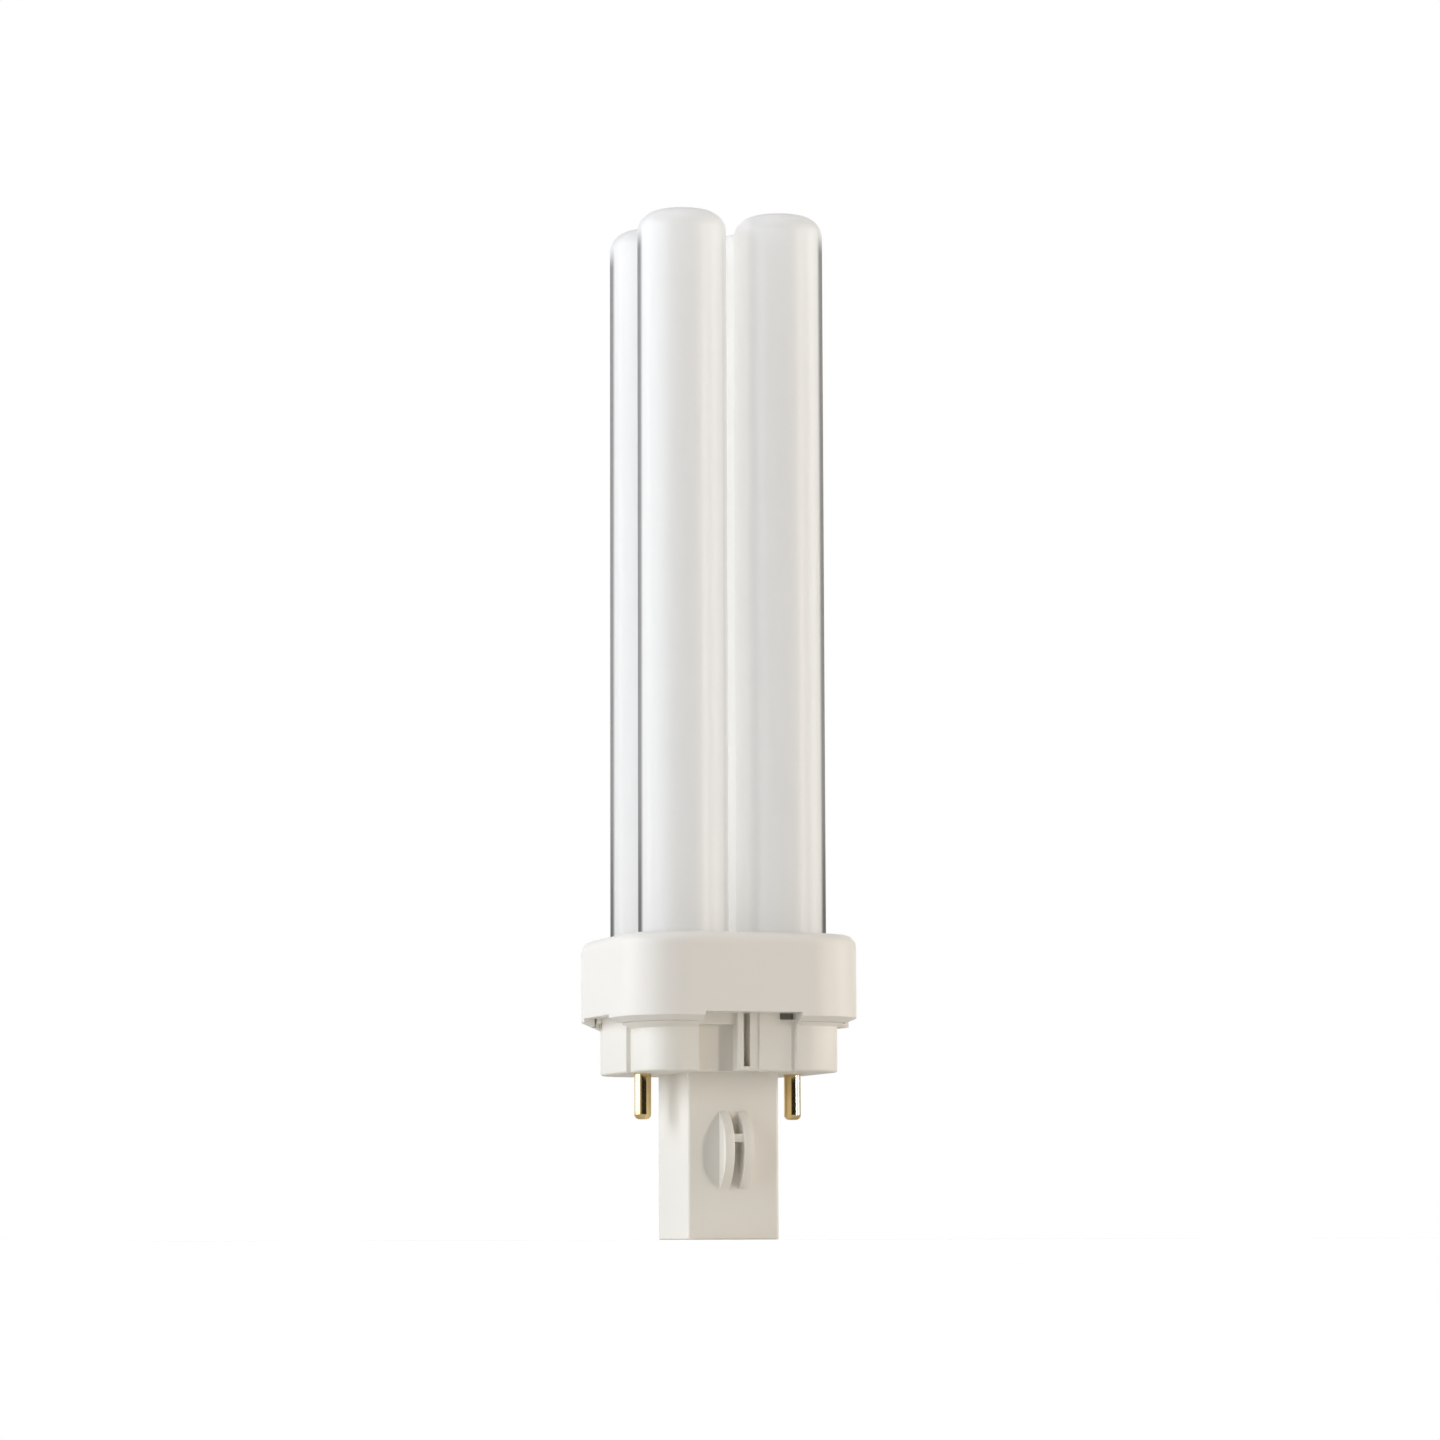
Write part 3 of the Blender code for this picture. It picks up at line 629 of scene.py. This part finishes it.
class Link:
    # a socket that can be added and multiplied
    def __init__(self, finish, socket):
        self.finish = finish
        self.socket = socket

    def work(self, operation, first, second):
        return self.finish.work(operation, first, second)

    def __add__(self, other):
        return self.work("ADD", self, other)

    def __radd__(self, other):
        return self.work("ADD", other, self)

    def __mul__(self, other):
        return self.work("MULTIPLY", self, other)

    def __rmul__(self, other):
        return self.work("MULTIPLY", other, self)


class Finish:
    def __init__(self, name):
        self.made = bpy.data.materials.new(name)
        self.made.use_nodes = True
        self.tree = self.made.node_tree
        self.shader = self.tree.nodes["Principled BSDF"]

    def node(self, kind, settings=None, inputs=None, output=0):
        made = self.tree.nodes.new(kind)
        for setting, value in (settings or {}).items():
            setattr(made, setting, value)
        for socket, value in (inputs or {}).items():
            self.feed(made.inputs[socket], value)
        return Link(self, made.outputs[output])

    def feed(self, socket, value):
        if isinstance(value, Link):
            self.tree.links.new(value.socket, socket)
        else:
            socket.default_value = value

    def place(self):
        return self.node("ShaderNodeTexCoord", output="Object")

    def noise(self, scale, detail=3.0, roughness=0.5, stretch=(1, 1, 1)):
        where = self.node("ShaderNodeMapping", {}, {"Vector": self.place(), "Scale": stretch})
        return self.node(
            "ShaderNodeTexNoise", {},
            {"Vector": where, "Scale": scale, "Detail": detail, "Roughness": roughness},
        )

    def along(self, vector, axis):
        return self.node("ShaderNodeSeparateXYZ", {}, {"Vector": vector}, output=axis)

    def height(self):
        return self.along(self.place(), "Z")

    def work(self, operation, first, second):
        return self.node("ShaderNodeMath", {"operation": operation}, {0: first, 1: second})

    def ramp(self, value, low, high, first=0.0, last=1.0):
        # runs smoothly from first to last while value goes from low to high
        return self.node(
            "ShaderNodeMapRange", {"interpolation_type": "SMOOTHSTEP"},
            {"Value": value, "From Min": low, "From Max": high, "To Min": first, "To Max": last},
        )

    def blend(self, factor, first, second):
        return self.node(
            "ShaderNodeMix", {"data_type": "RGBA"}, {0: factor, 6: first, 7: second}, output=2
        )

    def bump(self, height, strength, distance):
        return self.node(
            "ShaderNodeBump", {}, {"Height": height, "Strength": strength, "Distance": distance}
        )

    def whole(self):
        return Link(self, self.shader.outputs["BSDF"])

    def cover(self, shader):
        # this shader becomes the surface
        self.feed(self.tree.nodes["Material Output"].inputs["Surface"], shader)

    def set(self, **values):
        for name, value in values.items():
            self.feed(self.shader.inputs[name.replace("_", " ")], value)
        return self.made


class Sky(Finish):
    def __init__(self, name):
        self.made = bpy.data.worlds.new(name)
        self.made.use_nodes = True
        self.tree = self.made.node_tree
        self.shader = self.tree.nodes["Background"]


coating = {
    "through": 0.38,                       # share of the light that goes through the powder
    "lowerEndHeight": 22 * mm,                 # darker, with more painted rim and painted glow, up to here above the collar
    "lowerEndDarkening": 0.25,
    "paintedRimFacing": (0.52, 0.68),            # Facing values over which the painted dark rim comes in
    "wallReach": (1.5 * mm, 4.5 * mm),     # and the distances from the lamp's middle planes
    "paintedRimEnd": (6 * mm, 2.5 * mm),         # depths below the top over which it goes out
    "paintedRimShare": 0.78,
    "paintedRimShareMore": 0.18,                 # added towards the collar
    "glowStripIn": (0.0, 0.6 * mm),            # X over which the strip of painted glow comes in
    "stripOut": (0.9 * mm, 2.4 * mm),      # and goes out
    "glowInsideReach": (4.5 * mm, 7.0 * mm),   # distances from the axis over which it goes out
}


def coatedGlass():
    # white powder seen through clear glass, with a painted dark rim, painted glow and darker lower
    # ends
    look = Finish("coated glass")
    cloud = look.noise(60, 4, 0.55, (1, 1, 0.25))
    powder = look.blend(cloud, (0.845, 0.843, 0.835, 1), (0.875, 0.873, 0.865, 1))
    lowerEndTop = collarHigh.z + coating["lowerEndHeight"]
    nearCollar = look.ramp(look.height(), collarHigh.z, lowerEndTop, 1.0, 0.0)
    # darker towards the collar
    body = look.blend(nearCollar * coating["lowerEndDarkening"], powder, (0.70, 0.675, 0.64, 1))
    # painted dark rim: a dark diffuse layer, mixed in by Layer Weight facing at the outer rim of
    # each limb where no limb faces it, stands for the clear wall seen edge on
    facing = look.node("ShaderNodeLayerWeight", {}, {"Blend": 0.5}, "Facing")
    across = look.node("ShaderNodeVectorMath", {"operation": "ABSOLUTE"}, {0: look.place()})
    nearest = look.work("MINIMUM", look.along(across, "X"), look.along(across, "Y"))
    paintedRim = look.ramp(facing, *coating["paintedRimFacing"]) * look.ramp(nearest, *coating["wallReach"])
    endLow, endHigh = (tubeHigh.z - drop for drop in coating["paintedRimEnd"])
    paintedRim = paintedRim * look.ramp(look.height(), endLow, endHigh, 1.0, 0.1)
    wave = look.noise(90, 2, 0.4, (1, 1, 0.12))
    # painted glow, standing for light that the limbs pass on: emission in a strip along the right
    # ones, and all inside the cluster
    side = look.along(look.place(), "X")
    flat = {0: look.place(), 1: (1, 1, 0)}
    level = look.node("ShaderNodeVectorMath", {"operation": "MULTIPLY"}, flat)
    reach = look.node("ShaderNodeVectorMath", {"operation": "LENGTH"}, {0: level}, "Value")
    paintedGlow = look.ramp(side, *coating["glowStripIn"]) * look.ramp(side, *coating["stripOut"], 1.0, 0.0)
    inside = look.ramp(reach, *coating["glowInsideReach"], 1.0, 0.0)
    paintedGlow = look.work("MAXIMUM", paintedGlow, inside)
    # painted glow: a faint emission all over, stronger towards the collar
    paintedFaintGlow = look.blend(nearCollar, (0.02, 0.02, 0.02, 1), (0.09, 0.09, 0.087, 1))
    look.set(
        Base_Color=body, Roughness=0.55, Specular_IOR_Level=0.0,
        Coat_Weight=1.0, Coat_Roughness=0.33, Coat_IOR=1.5,
        Emission_Color=look.blend(paintedGlow, paintedFaintGlow, (0.31, 0.31, 0.302, 1)),
        Emission_Strength=1.0,
        Normal=look.bump(wave, 0.15, 0.05 * mm),
    )
    through = look.node("ShaderNodeBsdfTranslucent", {}, {"Color": (0.90, 0.90, 0.895, 1)})
    mixed = {0: coating["through"], 1: look.whole(), 2: through}
    milky = look.node("ShaderNodeMixShader", {}, mixed)
    # the painted dark rim's own shader, a plain dark diffuse
    wall = look.node("ShaderNodeBsdfDiffuse", {}, {"Color": (0.13, 0.13, 0.125, 1)})
    share = paintedRim * (coating["paintedRimShare"] + coating["paintedRimShareMore"] * nearCollar)
    look.cover(look.node("ShaderNodeMixShader", {}, {0: share, 1: milky, 2: wall}))
    return look.made


def mouldedPlastic(name, light, dark, roughness):
    # warm white moulded plastic with a very fine spark texture
    look = Finish(name)
    cloud = look.noise(45, 3, 0.5)
    grain = look.noise(5200, 2, 0.6)
    colour = look.blend(cloud, (*dark, 1), (*light, 1))
    return look.set(
        Base_Color=colour, Roughness=roughness + 0.08 * look.noise(160, 3, 0.6),
        Specular_IOR_Level=0.45, Normal=look.bump(grain, 0.12, 0.02 * mm),
    )


def drawnBrass():
    look = Finish("drawn brass")
    lines = look.noise(2600, 3, 0.6, (1, 1, 0.02))
    stain = look.noise(380, 3, 0.6)
    colour = look.blend(stain, (0.62, 0.44, 0.18, 1), (0.82, 0.66, 0.36, 1))
    return look.set(
        Base_Color=colour, Metallic=1.0, Roughness=0.08 + 0.06 * lines,
        Normal=look.bump(lines, 0.12, 0.01 * mm),
    )


def dryCement():
    look = Finish("dry cement")
    grain = look.noise(900, 6, 0.7)
    colour = look.blend(grain, (0.52, 0.50, 0.46, 1), (0.74, 0.72, 0.67, 1))
    return look.set(Base_Color=colour, Roughness=0.92, Normal=look.bump(grain, 0.5, 0.2 * mm))


def clearGlass():
    look = Finish("starter glass")
    smear = look.noise(300, 3, 0.5)
    return look.set(
        Base_Color=look.blend(smear, (0.78, 0.80, 0.80, 1), (0.88, 0.90, 0.90, 1)),
        Roughness=0.03 + 0.04 * smear, Transmission_Weight=0.9,
    )


def dippedResin():
    look = Finish("dipped resin")
    skin = look.noise(420, 4, 0.55)
    return look.set(
        Base_Color=look.blend(skin, (0.36, 0.11, 0.05, 1), (0.52, 0.19, 0.08, 1)),
        Roughness=0.28 + 0.12 * skin, Normal=look.bump(skin, 0.25, 0.1 * mm),
    )


def tinnedWire():
    look = Finish("tinned wire")
    dull = look.noise(1500, 3, 0.6)
    return look.set(
        Base_Color=look.blend(dull, (0.58, 0.58, 0.56, 1), (0.78, 0.78, 0.76, 1)),
        Metallic=1.0, Roughness=0.25 + 0.2 * dull,
    )


def dress(obj, material):
    obj.data.materials.clear()
    obj.data.materials.append(material)


def stand(piece, slot, material, *nodes):
    dress(piece, material)
    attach(piece, "root")
    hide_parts(*nodes)


# Building the visible pieces

glass = coatedGlass()
plastic = mouldedPlastic("collar plastic", (0.81, 0.783, 0.735), (0.79, 0.763, 0.715), 0.40)
plasticLow = mouldedPlastic("base plastic", (0.80, 0.774, 0.715), (0.78, 0.754, 0.695), 0.40)
brass = drawnBrass()

stand(makeDischargeTube(), "coated_glass", glass, "discharge_tube")
print("discharge tube made")
stand(makeCollar(), "collar_plastic", plastic, "collar")
print("collar made")
stand(makeBaseHousing(), "base_plastic", plasticLow, "base_housing")
print("base housing made")
stand(makePin("contactPinLeft", -pinX), "pin_brass", brass, "contact_pin_left")
stand(makePin("contactPinRight", pinX), "pin_brass", brass, "contact_pin_right")
print("contact pins made")

hiddenFinish = {
    "fixing_cement": dryCement(),
    "starter_bulb": clearGlass(),
    "starter_capacitor": dippedResin(),
}
wire = tinnedWire()
for name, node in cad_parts.items():
    if name in hiddenFinish or name.endswith(("_lead_left", "_lead_right")):
        dress(node, hiddenFinish.get(name, wire))
print("inner pieces finished")


# Studio

studio = {
    "boxDistance": 0.9,
    "panelTurn": 24,             # degrees of the ring that a panel takes
    "floorSize": 6,
    "floorDrop": 0.2 * mm,       # it lies just under the lamp
    "floorFade": (0.25, 1.2),    # from here to there it turns white to the camera
    "curtainRadius": 1.4,
    "curtainHeight": 3.2,
    "curtainMiddle": 1.5,        # height of its middle
    "curtainEnd": 0.75,          # Y behind which it is open
}


def paleFloor():
    # the camera sees it whiter the further it lies from the lamp
    look = Finish("pale floor")
    look.set(Base_Color=(0.86, 0.832, 0.785, 1), Roughness=0.9, Specular_IOR_Level=0.0)
    far = look.node("ShaderNodeVectorMath", {"operation": "LENGTH"}, {0: look.place()}, "Value")
    glow = look.blend(look.ramp(far, *studio["floorFade"]), (0.46, 0.48, 0.52, 1), (1, 1, 1, 1))
    seen = look.node("ShaderNodeLightPath", output="Is Camera Ray")
    look.set(Emission_Color=look.blend(seen, (0, 0, 0, 1), glow), Emission_Strength=1.0)
    return look.made


def darkCloth():
    look = Finish("dark cloth")
    return look.set(Base_Color=(0.03, 0.027, 0.025, 1), Roughness=0.9, Specular_IOR_Level=0.0)


def lightDirection(angle, rise):
    # unit vector towards a light, angle in degrees from the front towards the right
    a, r = math.radians(angle), math.radians(rise)
    return Vector((math.sin(a) * math.cos(r), -math.cos(a) * math.cos(r), math.sin(r)))


def addSoftbox(name, angle, rise, width, height, brightness, colour):
    lamp = bpy.data.lights.new(name, "AREA")
    lamp.shape = "RECTANGLE"
    lamp.size, lamp.size_y = width, height
    lamp.energy = brightness * math.pi * width * height
    lamp.color = colour
    obj = bpy.data.objects.new(name, lamp)
    bpy.context.scene.collection.objects.link(obj)
    towards = lightDirection(angle, rise)
    obj.location = (cadLow + cadHigh) / 2 + towards * studio["boxDistance"]
    obj.rotation_euler = (-towards).to_track_quat("-Z", "Y").to_euler()
    obj.visible_camera = False


cool, plain, warm = (0.96, 1.0, 1.05), (1.0, 0.985, 0.95), (1.0, 0.90, 0.79)
panelWidth = 2 * studio["boxDistance"] * math.tan(math.radians(studio["panelTurn"] / 2))
softboxes = {                    # angle, rise, width, height, brightness, colour
    "left panel": (-89, 8, panelWidth, 0.9, 4.1, cool),
    "left front panel": (-65, 8, panelWidth, 0.9, 2.8, cool),
    "left wing": (-41, 8, panelWidth, 0.9, 0.25, cool),
    "right front panel": (55, 8, panelWidth, 0.9, 0.8, plain),
    "right panel": (79, 8, panelWidth, 0.9, 4.5, plain),
    "left strip": (-115, 12, 0.08, 0.9, 14.0, cool),
    "top panel": (-40, 75, 0.7, 0.7, 1.4, cool),
    "key": (41, 6, 0.10, 0.40, 19.0, warm),
}
for name, values in softboxes.items():
    addSoftbox(name, *values)

sky = Sky("studio")
bpy.context.scene.world = sky.made
seen = sky.node("ShaderNodeLightPath", output="Is Camera Ray")
for way in ("Is Glossy Ray", "Is Transmission Ray"):
    seen = sky.work("MAXIMUM", seen, sky.node("ShaderNodeLightPath", output=way))
sky.set(Color=sky.blend(seen, (0.05, 0.04, 0.035, 1), (1, 1, 1, 1)))

# a dark curtain round the camera's side, out of the picture, that only reflections see
bpy.ops.object.select_all(action="DESELECT")
bpy.ops.mesh.primitive_cylinder_add(
    vertices=72, radius=studio["curtainRadius"], depth=studio["curtainHeight"],
    end_fill_type="NOTHING", location=(0, 0, studio["curtainMiddle"]),
)
curtain = settle(bpy.context.object, "curtain")


def behind(face):
    return face.calc_center_median().y > studio["curtainEnd"]


pick(curtain, "FACE", behind)
bpy.ops.mesh.delete(type="FACE")
objectMode()
dress(curtain, darkCloth())
curtain.visible_camera = False
curtain.visible_diffuse = False
curtain.visible_transmission = False
curtain.visible_shadow = False

bpy.ops.object.select_all(action="DESELECT")
bpy.ops.mesh.primitive_plane_add(size=studio["floorSize"], location=(0, 0, -studio["floorDrop"]))
floor = bpy.context.object
floor.name = "floor"
dress(floor, paleFloor())

view = {
    "distance": 658.684 * mm,
    "turn": 17.095,              # degrees round from the front, to the left
    "height": 0.271 * mm,
    "aimTurn": 0.041,
    "aimUp": 6.378,
    "roll": -0.189,
    "lens": 115.77,
}

lens = bpy.data.cameras.new("camera")
lens.sensor_width = 36
lens.lens = view["lens"]
camera = bpy.data.objects.new("camera", lens)
bpy.context.scene.collection.objects.link(camera)
bpy.context.scene.camera = camera
turn = math.radians(view["turn"])
aim = math.radians(view["turn"] + view["aimTurn"])
place = Matrix.Translation((
    -view["distance"] * math.sin(turn), -view["distance"] * math.cos(turn), view["height"]
))
camera.matrix_world = (
    place @ Matrix.Rotation(-aim, 4, "Z")
    @ Matrix.Rotation(math.pi / 2 + math.radians(view["aimUp"]), 4, "X")
    @ Matrix.Rotation(math.radians(view["roll"]), 4, "Z")
)
bpy.context.scene.view_settings.view_transform = "Standard"
print("studio set")
